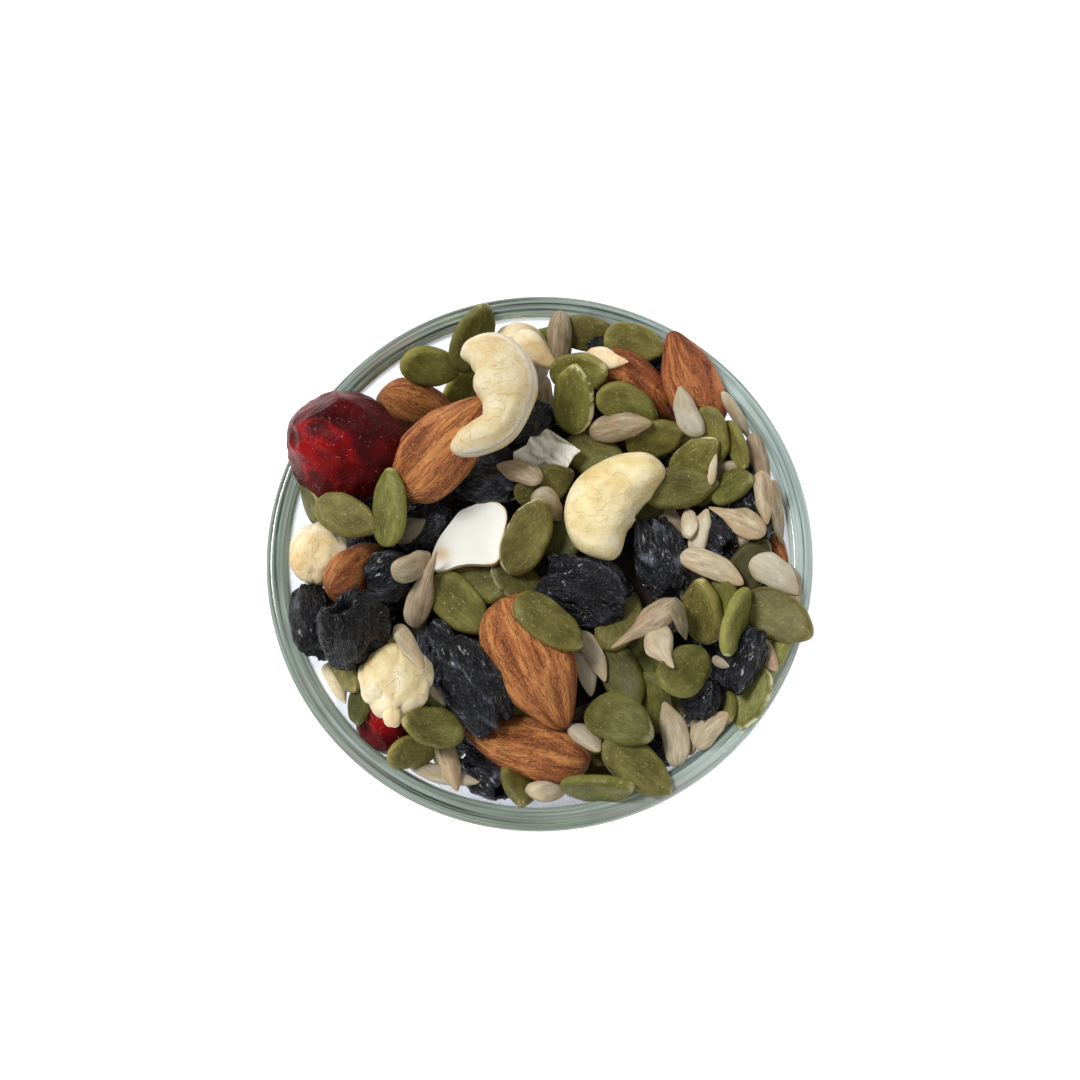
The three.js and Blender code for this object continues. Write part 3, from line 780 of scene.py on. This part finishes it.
def fill_bowl(heap, draw):
    """Fills the ring between the core and the glass level by level, lowest places first."""
    odds = np.array([kind.count for kind in KINDS.values()]) / 100
    seed = FIRST_PIECE_SEED
    for level in np.linspace(BASE + FILL_START, FILL_MIDDLE, FILL_LEVELS):
        core = CORE_SHARE * glass_radius(level)
        core_top = min(level, mound(0) - CORE_DEPTH)
        heap.top = np.where(heap.radius < core, np.maximum(heap.top, core_top), heap.top)
        misses = 0
        while misses < MISSES:
            kind = draw.choice(list(KINDS), p=odds)
            growth = draw.uniform(*FILL_GROWTH)
            length, width = KINDS[kind].length * growth, KINDS[kind].width * growth
            row = Row(kind, 0, 0, draw.uniform(0, 360), length, width, fine=0)
            piece = make_piece(row, seed, FILLING_COARSENESS)
            seed += 1
            depth = BRIGHT_DEPTH if kind in BRIGHT_KINDS else 0
            tried = []
            for _ in range(TRIES):
                out = glass_radius(level) * math.sqrt(draw.uniform(0, 1))
                angle = draw.uniform(0, 2 * math.pi)
                x, y = out * math.cos(angle), out * math.sin(angle)
                turn = heap.lying_turns(x, y, row, np.zeros(1))[0]
                height = heap.resting_height(piece.shape @ turn.T + (x, y, 0))
                ceiling = min(level, mound(math.hypot(x, y)) + FILL_LEAN * x - depth)
                tried.append((height - ceiling, x, y, height, turn))
            over, x, y, height, turn = min(tried, key=lambda entry: entry[0])
            if over > 0:
                misses += 1
                continue
            heap.add(row, piece, turn, x, y, height)


# ---- meshes

def make_mesh(name, points, triangles):
    """A smooth mesh object of points in millimetres."""
    mesh = bpy.data.meshes.new(name)
    mesh.vertices.add(len(points))
    mesh.vertices.foreach_set("co", (points * MM).astype(np.float32).ravel())
    mesh.loops.add(triangles.size)
    mesh.loops.foreach_set("vertex_index", triangles.astype(np.int32).ravel())
    mesh.polygons.add(len(triangles))
    mesh.polygons.foreach_set("loop_start", np.arange(0, triangles.size, 3, dtype=np.int32))
    mesh.update(calc_edges=True)
    mesh.shade_smooth()
    piece = bpy.data.objects.new(name, mesh)
    bpy.context.scene.collection.objects.link(piece)
    return piece


def set_attribute(piece, name, values):
    attribute = piece.data.attributes.new(name, "FLOAT_VECTOR", "POINT")
    attribute.data.foreach_set("vector", values.astype(np.float32).ravel())


def join_pieces(name, placed, material):
    """One mesh of all the placed pieces of a kind, with what its material reads of each."""
    points, triangles, places, marks, tones = [], [], [], [], []
    start = 0
    for piece, piece_points, shade in placed:
        draw = np.random.default_rng(piece.seed)
        points.append(piece_points)
        triangles.append(piece.triangles + start)
        places.append(piece.grain + draw.uniform(0, 500, 3))
        marks.append(piece.marks)
        tone = [shade, draw.normal(), draw.normal()]
        tones.append(np.tile(tone, (len(piece_points), 1)))
        start += len(piece_points)
    joined = make_mesh(name, np.vstack(points), np.vstack(triangles))
    set_attribute(joined, "place", np.vstack(places))
    set_attribute(joined, "marks", np.vstack(marks))
    set_attribute(joined, "tone", np.vstack(tones))
    joined.data.materials.append(material)
    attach(joined, "root")
    return joined


def lathe(name, section, sides):
    """A closed mesh turned from a section that starts and ends on the axis, and its points."""
    ring = np.linspace(0, 2 * math.pi, sides, endpoint=False)
    radius, height = section[1:-1, :1], section[1:-1, 1:]
    rings = columns(radius * np.cos(ring), radius * np.sin(ring), height).reshape(-1, 3)
    points = np.vstack([[[0, 0, section[0, 1]]], rings, [[0, 0, section[-1, 1]]]])
    return make_mesh(name, points, ring_triangles(len(section) - 2, sides)), points


# ---- materials

def paint(red, green, blue):
    """A colour as seen, 0 to 255, as the shader's own values."""
    seen = np.array([red, green, blue]) / 255
    linear = np.where(seen <= 0.04045, seen / 12.92, ((seen + 0.055) / 1.055) ** 2.4)
    return (*linear, 1.0)


class Shader:
    """A material's node tree, with short ways to add to it."""

    def __init__(self, name):
        self.material = bpy.data.materials.new(name)
        self.material.use_nodes = True
        self.tree = self.material.node_tree
        self.surface = self.tree.nodes["Principled BSDF"]
        self.output = self.tree.nodes["Material Output"]

    def put(self, socket, value):
        if isinstance(value, bpy.types.NodeSocket):
            self.tree.links.new(value, socket)
        else:
            socket.default_value = value

    def add(self, kind, inputs, **settings):
        node = self.tree.nodes.new("ShaderNode" + kind)
        for name, value in settings.items():
            setattr(node, name, value)
        for name, value in inputs.items():
            self.put(node.inputs[name], value)
        return node

    def attribute(self, name):
        return self.add("Attribute", {}, attribute_name=name).outputs["Vector"]

    def split(self, name):
        return self.add("SeparateXYZ", {"Vector": self.attribute(name)}).outputs

    def total(self, *parts, start=0.0):
        """The start with each value added, times its weight."""
        for value, weight in parts:
            inputs = {0: value, 1: weight, 2: start}
            start = self.add("Math", inputs, operation="MULTIPLY_ADD").outputs["Value"]
        return start

    def share(self, value, none, full):
        """0 where a value is none, rising to 1 where it is full."""
        inputs = {"Value": value, "From Min": none, "From Max": full}
        return self.add("MapRange", inputs).outputs["Result"]

    def noise(self, stretch, detail=3.0, rough=0.6):
        """Noise over the piece's own coordinates in millimetres, stretched."""
        inputs = {0: self.attribute("place"), 1: stretch}
        place = self.add("VectorMath", inputs, operation="MULTIPLY").outputs["Vector"]
        inputs = {"Vector": place, "Scale": 1.0, "Detail": detail, "Roughness": rough}
        return self.add("TexNoise", inputs).outputs["Fac"]

    def lines(self, stretch, width):
        """1 on the thin lines where noise crosses its middle value, falling to 0 beside them."""
        noise = self.noise(stretch, 2.0, 0.5)
        rising = self.share(noise, 0.5 - width, 0.5)
        return self.total((rising, self.share(noise, 0.5 + width, 0.5)))

    def mix(self, share, first, second):
        inputs = {0: share, 6: first, 7: second}
        return self.add("Mix", inputs, data_type="RGBA").outputs[2]

    def coats(self, colour, *coats):
        """A colour with others over it, each by a share times its strength."""
        for share, strength, over in coats:
            colour = self.mix(self.total((share, strength)), colour, over)
        return colour

    def ramp(self, value, *stops):
        node = self.add("ValToRGB", {"Fac": value})
        elements = node.color_ramp.elements
        while len(elements) < len(stops):
            elements.new(1.0)
        for element, (position, colour) in zip(elements, stops):
            element.position = position
            element.color = colour
        return node.outputs["Color"]

    def toned(self, colour, light, warm):
        """A colour made a little lighter or darker, and warmer or cooler, piece by piece."""
        shade, lightness, warmth = self.split("tone")
        value = self.total((lightness, light), (shade, 1.0), start=1.0)
        inputs = {"Hue": self.total((warmth, warm), start=0.5), "Value": value, "Color": colour}
        return self.add("HueSaturation", inputs).outputs["Color"]

    def bump(self, height, strength, distance):
        """The surface's normal over a height; the distance is in millimetres."""
        inputs = {"Height": height, "Strength": strength, "Distance": distance * MM}
        return self.add("Bump", inputs).outputs["Normal"]

    def finish(self, colour, roughness, shine=0.5, tone=None, bump=None, **settings):
        """Sets the surface, with what toned() and bump() make where it has them."""
        inputs = {"Base Color": colour, "Roughness": roughness, "Specular IOR Level": shine}
        if tone:
            inputs["Base Color"] = self.toned(colour, *tone)
        if bump:
            inputs["Normal"] = self.bump(*bump)
        inputs.update({name.replace("_", " "): value for name, value in settings.items()})
        for name, value in inputs.items():
            self.put(self.surface.inputs[name], value)
        return self.material


def almond_skin():
    shader = Shader("almond_skin")
    wrinkle = shader.split("marks")[0]
    furrow = shader.lines((0.14, 0.6, 0.6), 0.035)
    scratch = shader.lines((0.2, 1.3, 1.3), 0.03)
    streak = shader.noise((0.12, 0.8, 0.8))
    grain = shader.noise((2.0, 2.2, 2.2), 4.0, 0.7)
    colour = shader.ramp(
        shader.total((wrinkle, 0.35), (streak, 0.65)),
        (0.3, paint(130, 64, 30)), (0.52, paint(180, 105, 56)), (0.74, paint(222, 148, 86)),
    )
    colour = shader.coats(
        colour,
        (furrow, 0.5, paint(84, 38, 16)),
        (scratch, 0.22, paint(104, 52, 24)),
        (shader.share(grain, 0.52, 0.66), 0.5, paint(216, 160, 106)),
        (shader.share(grain, 0.46, 0.34), 0.45, paint(104, 52, 26)),
    )
    height = shader.total((grain, 1.6), (furrow, -0.8), (scratch, -0.4))
    return shader.finish(colour, 0.55, 0.35, (0.07, 0.003), (height, 0.9, 0.3))


def cashew_flesh():
    shader = Shader("cashew_flesh")
    seam, groove, pale = shader.split("marks")
    cloud = shader.noise((0.14, 0.2, 0.2))
    grain = shader.noise((0.96, 0.96, 0.96), 4.0, 0.75)
    crack = shader.lines((0.2, 0.3, 0.3), 0.01)
    colour = shader.ramp(
        cloud,
        (0.32, paint(221, 193, 137)), (0.5, paint(235, 215, 168)), (0.68, paint(244, 232, 203)),
    )
    colour = shader.coats(
        colour,
        (shader.share(grain, 0.54, 0.7), 0.45, paint(206, 170, 112)),
        (shader.share(seam, 0.2, 0.6), 0.6, paint(244, 238, 220)),
        (pale, 0.4, paint(250, 242, 220)),
        (groove, 0.4, paint(164, 130, 86)),
        (crack, 0.15, paint(188, 152, 102)),
    )
    height = shader.total((grain, 1.2), (crack, -1.0))
    return shader.finish(
        colour, 0.5, 0.35, (0.03, 0.005), (height, 0.6, 0.2),
        Subsurface_Weight=0.1, Subsurface_Scale=0.001,
    )


def half_flesh():
    shader = Shader("half_flesh")
    face, brown = shader.split("marks")[:2]
    streak = shader.noise((0.1, 0.5, 0.5))
    back = shader.ramp(streak, (0.35, paint(212, 178, 126)), (0.7, paint(236, 212, 168)))
    white = shader.ramp(streak, (0.3, paint(240, 239, 229)), (0.7, paint(247, 247, 240)))
    # Tan on a spot near one corner and along the edge on the +X side.
    tan_marked = shader.coats(white, (brown, 0.75, paint(214, 176, 122)))
    return shader.finish(shader.mix(face, back, tan_marked), 0.5, 0.3)


def cranberry_skin():
    shader = Shader("cranberry_skin")
    thin = shader.split("marks")[0]
    patch = shader.noise((0.1, 0.1, 0.1), 3.0, 0.5)
    vein = shader.lines((0.35, 0.35, 0.35), 0.03)
    speck = shader.noise((2.0, 2.0, 2.0))
    colour = shader.ramp(
        patch,
        (0.34, paint(54, 2, 9)), (0.5, paint(88, 3, 11)), (0.68, paint(130, 5, 14)),
    )
    colour = shader.coats(
        colour,
        # Painted light: the bright red glow on one side, as if shining through the skin.
        (thin, 0.75, paint(196, 12, 16)),
        (vein, 0.15, paint(160, 30, 40)),
        # Pale specks: partly sugar on the skin, partly painted glints.
        (shader.share(speck, 0.67, 0.7), 1.0, paint(226, 176, 168)),
    )
    roughness = shader.total((shader.share(speck, 0.6, 0.66), 0.26), start=0.34)
    height = shader.total((vein, 0.6), (speck, 1.0))
    return shader.finish(colour, roughness, 0.12, (0.05, 0.0), (height, 0.5, 0.3))


def raisin_skin():
    shader = Shader("raisin_skin")
    fold, crease = shader.split("marks")[:2]
    bloom = shader.noise((0.25, 0.25, 0.25), 5.0, 0.7)
    wrinkle = shader.lines((0.3, 0.7, 0.7), 0.06)
    web = shader.lines((0.5, 1.3, 1.3), 0.05)
    speck = shader.noise((1.6, 1.6, 1.6))
    # Painted highlights on the crests, painted shade in the hollows, and a pale bloom.
    colour = shader.ramp(
        shader.total((fold, 0.35), (crease, 0.45), (bloom, 0.3)),
        (0.3, paint(2, 2, 3)), (0.55, paint(8, 8, 11)), (0.78, paint(25, 27, 34)),
        (0.97, paint(104, 108, 122)),
    )
    # Pale fine wrinkle and web lines are painted highlights along small crests.
    colour = shader.coats(
        colour,
        (wrinkle, 0.2, paint(96, 100, 114)),
        (web, 0.14, paint(110, 110, 116)),
        (shader.share(speck, 0.66, 0.72), 0.6, paint(168, 164, 158)),
    )
    height = shader.total((wrinkle, 1.0), (web, 0.5))
    return shader.finish(colour, 0.32, 0.45, (0.15, 0.02), (height, 0.9, 0.5))


def pumpkin_seed_skin():
    shader = Shader("pumpkin_seed_skin")
    pale, rim, tip = shader.split("marks")
    cloud = shader.noise((0.16, 0.22, 0.22), 4.0)
    grain = shader.noise((0.9, 1.8, 1.8), 4.0, 0.7)
    scratch = shader.lines((0.22, 0.9, 0.9), 0.016)
    chip = shader.noise((1.8, 2.2, 2.2), 2.0, 0.5)
    peel = shader.noise((0.6, 0.6, 0.6))
    torn = shader.total((tip, 0.7))
    colour = shader.ramp(
        cloud,
        (0.32, paint(88, 82, 36)), (0.5, paint(112, 107, 52)), (0.68, paint(138, 134, 72)),
    )
    colour = shader.coats(
        colour,
        (shader.share(grain, 0.6, 0.36), 0.28, paint(64, 56, 22)),
        (scratch, 0.4, paint(172, 172, 112)),
        (shader.share(chip, 0.67, 0.72), 0.7, paint(196, 192, 136)),
        (rim, 0.45, paint(136, 130, 64)),
        (shader.share(peel, 0.4, 0.5), pale, paint(214, 210, 160)),
        (shader.share(peel, 0.42, 0.52), torn, paint(200, 190, 136)),
    )
    height = shader.total((grain, 1.0), (scratch, 0.6))
    return shader.finish(colour, 0.46, 0.2, (0.16, 0.008), (height, 0.3, 0.12))


def sunflower_seed_skin():
    shader = Shader("sunflower_seed_skin")
    face, tip = shader.split("marks")[:2]
    whiteness = shader.split("tone")[2]
    streak = shader.noise((0.3, 1.2, 1.2), 5.0, 0.7)
    line = shader.lines((0.14, 0.7, 0.7), 0.015)
    blotch = shader.noise((0.2, 0.3, 0.3))
    colour = shader.ramp(
        streak,
        (0.34, paint(140, 121, 92)), (0.5, paint(168, 151, 121)), (0.66, paint(196, 183, 156)),
    )
    colour = shader.coats(
        colour,
        (shader.share(whiteness, 0, 2), 0.7, paint(220, 212, 194)),
        (shader.share(blotch, 0.5, 0.68), 0.6, paint(178, 146, 106)),
        (shader.share(face, 0.9, 1), 0.35, paint(150, 122, 92)),
        (line, 0.2, paint(118, 98, 74)),
        (tip, 0.3, paint(184, 146, 104)),
    )
    height = shader.total((streak, 1.0), (line, -1.0))
    return shader.finish(colour, 0.55, 0.3, (0.08, 0.006), (height, 0.4, 0.15))


def flake_skin():
    shader = Shader("flake_skin")
    streak = shader.split("marks")[0]
    fine = shader.noise((2.0, 0.4, 1.0))
    shown = shader.total((streak, 0.5), (fine, 0.5))
    colour = shader.ramp(shown, (0.34, paint(168, 166, 144)), (0.58, paint(246, 244, 230)))
    return shader.finish(colour, 0.6, tone=(0.07, 0.005), bump=(shown, 0.5, 0.3))


def core_painted_shade():
    shader = Shader("core_painted_shade")
    lumps = shader.noise((0.16, 0.16, 0.16))
    # Browns near black: painted shade for the depths of the heap that show in its gaps.
    colour = shader.ramp(lumps, (0.35, paint(14, 12, 10)), (0.7, paint(62, 46, 30)))
    return shader.finish(colour, 0.8, bump=(lumps, 1.0, 1.0))


def clear_glass():
    """Thick glass that looks green through its length, with faint painted rings round its hazy
    lip.
    """
    shader = Shader("clear_glass")
    near_lip, painted_lit_side = shader.split("marks")[:2]
    # Painted rings of light and shade over the lip, darker towards -X, lighter towards +X.
    rings = shader.noise((1.0, 1.0, 1.0))
    near = shader.ramp(
        rings,
        (0.36, (0.04, 0.06, 0.045, 1)), (0.45, (0.22, 0.27, 0.22, 1)),
        (0.56, (0.4, 0.47, 0.41, 1)), (0.7, (0.66, 0.74, 0.7, 1)),
    )
    far = shader.ramp(
        rings,
        (0.36, (0.2, 0.28, 0.26, 1)), (0.45, (0.6, 0.74, 0.71, 1)), (0.58, (0.86, 0.99, 0.97, 1)),
    )
    tint = shader.mix(near_lip, (0.76, 0.79, 0.88, 1), shader.mix(painted_lit_side, near, far))
    shader.finish(
        tint, shader.total((near_lip, LIP_HAZE)), IOR=1.5,
        Transmission_Weight=shader.total((near_lip, -LIP_PAINTED), start=1.0),
    )
    absorbs = shader.add("VolumeAbsorption", {"Color": (0.72, 0.8, 0.74, 1), "Density": 16.0})
    clear = shader.add("BsdfTransparent", {"Color": (0.95, 0.97, 0.96, 1)}).outputs["BSDF"]
    shadow = shader.add("LightPath", {}).outputs["Is Shadow Ray"]
    both = shader.add("MixShader", {0: shadow, 1: shader.surface.outputs["BSDF"], 2: clear})
    shader.put(shader.output.inputs["Volume"], absorbs.outputs["Volume"])
    shader.put(shader.output.inputs["Surface"], both.outputs["Shader"])
    return shader.material


# ---- the object

def make_bowl():
    bowl, points = lathe("glass_bowl", bowl_section(), BOWL_SIDES)
    x, y, z = points.T
    set_attribute(bowl, "place", columns((np.hypot(x, y) - z) * 1.8, x * 0.02, y * 0.02))
    # Rises towards +X, where the lip gets painted light, for the key light leaving the glass.
    painted_lit_side = smooth(-0.1, 0.9, x / RIM_RADIUS)
    set_attribute(bowl, "marks", columns(smooth(*LIP_FADE, z), painted_lit_side, 0))
    bowl.data.materials.append(clear_glass())
    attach(bowl, "root")
    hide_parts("bowl")


def make_core():
    """A dark lumpy body of painted shade inside the heap, which closes the view between the
    pieces.
    """
    foot = BASE + CORE_GAP
    heights = np.linspace(foot, mound(0) - CORE_DEPTH - 1, CORE_STEPS)
    side = columns(CORE_SHARE * glass_radius(heights), heights)
    reach = np.linspace(side[-1, 0], 0, CORE_TOP_STEPS)
    top = columns(reach, [mound(radius * 0.9) - CORE_DEPTH for radius in reach])
    section = np.vstack([[[0.0, foot]], side, top])
    core, points = lathe("core", section, CORE_SIDES)
    set_attribute(core, "place", points)
    core.data.materials.append(core_painted_shade())
    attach(core, "root")
    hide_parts("trail_mix")


def make_mix():
    """The filling and the pieces on top, as one piece for each kind."""
    heap = Heap()
    fill_bowl(heap, np.random.default_rng(FILL_SEED))
    for seed, row in enumerate(LYING):
        lay_on_top(heap, row, seed)
    skins = {
        "almond": ("almonds", almond_skin()),
        "cashew": ("cashews", cashew_flesh()),
        "half": ("split_half", half_flesh()),
        "cranberry": ("cranberries", cranberry_skin()),
        "raisin": ("raisins", raisin_skin()),
        "pumpkin": ("pumpkin_seeds", pumpkin_seed_skin()),
        "sunflower": ("sunflower_seeds", sunflower_seed_skin()),
        "flake": ("flakes", flake_skin()),
    }
    for kind, (name, material) in skins.items():
        piece = join_pieces(name, heap.pieces[kind], material)
        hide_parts("trail_mix")
        if kind == "pumpkin":
            piece.data.set_sharp_from_angle(angle=CRISP_EDGE)


# ---- stage, light and camera

def make_floor():
    corners = np.array([[-1, -1], [1, -1], [1, 1], [-1, 1]]) * FLOOR_REACH
    points = columns(corners[:, 0], corners[:, 1], -FLOOR_DROP) / MM
    floor = make_mesh("floor", points, np.array([[0, 1, 2], [0, 2, 3]]))
    material = Shader("floor_white").finish(
        paint(247, 247, 247), 0.9, Emission_Color=(1, 1, 1, 1), Emission_Strength=FLOOR_GLOW
    )
    floor.data.materials.append(material)


def make_key_light():
    """A square lamp above the back left of the bowl, aimed at it."""
    lamp = bpy.data.lights.new("key", "AREA")
    lamp.size = KEY_SIZE
    lamp.energy = KEY_POWER
    holder = bpy.data.objects.new("key", lamp)
    holder.location = KEY_PLACE
    aim = KEY_AIM - holder.location
    holder.rotation_euler = aim.to_track_quat("-Z", "Y").to_euler()
    bpy.context.scene.collection.objects.link(holder)


def make_sky():
    """An even white sky, brighter at the horizon, and how far light is followed through glass."""
    world = bpy.data.worlds.new("studio")
    world.use_nodes = True
    nodes, links = world.node_tree.nodes, world.node_tree.links
    split = nodes.new("ShaderNodeSeparateXYZ")
    links.new(nodes.new("ShaderNodeTexCoord").outputs["Generated"], split.inputs[0])
    strength = nodes.new("ShaderNodeMapRange")
    strength.inputs["To Min"].default_value = SKY_LOW
    strength.inputs["To Max"].default_value = SKY_HIGH
    links.new(split.outputs["Z"], strength.inputs["Value"])
    background = nodes["Background"]
    background.inputs["Color"].default_value = (1, 1, 1, 1)
    links.new(strength.outputs["Result"], background.inputs["Strength"])
    bpy.context.scene.world = world
    bpy.context.scene.view_settings.view_transform = "Standard"
    cycles = bpy.context.scene.cycles
    cycles.max_bounces = GLASS_BOUNCES
    cycles.glossy_bounces = GLASS_BOUNCES
    cycles.transmission_bounces = GLASS_BOUNCES


def make_camera():
    right, up, back = camera_axes()
    camera = bpy.data.cameras.new("camera")
    camera.lens = LENS
    camera.sensor_width = SENSOR
    holder = bpy.data.objects.new("camera", camera)
    eye = (CAMERA_AIM + back * CAMERA_DISTANCE) * MM
    turn = Matrix(np.column_stack([right, up, back]).tolist()).to_4x4()
    holder.matrix_world = Matrix.Translation(eye.tolist()) @ turn
    bpy.context.scene.collection.objects.link(holder)
    bpy.context.scene.camera = holder


make_camera()
make_bowl()
make_mix()
make_core()
make_floor()
make_sky()
make_key_light()
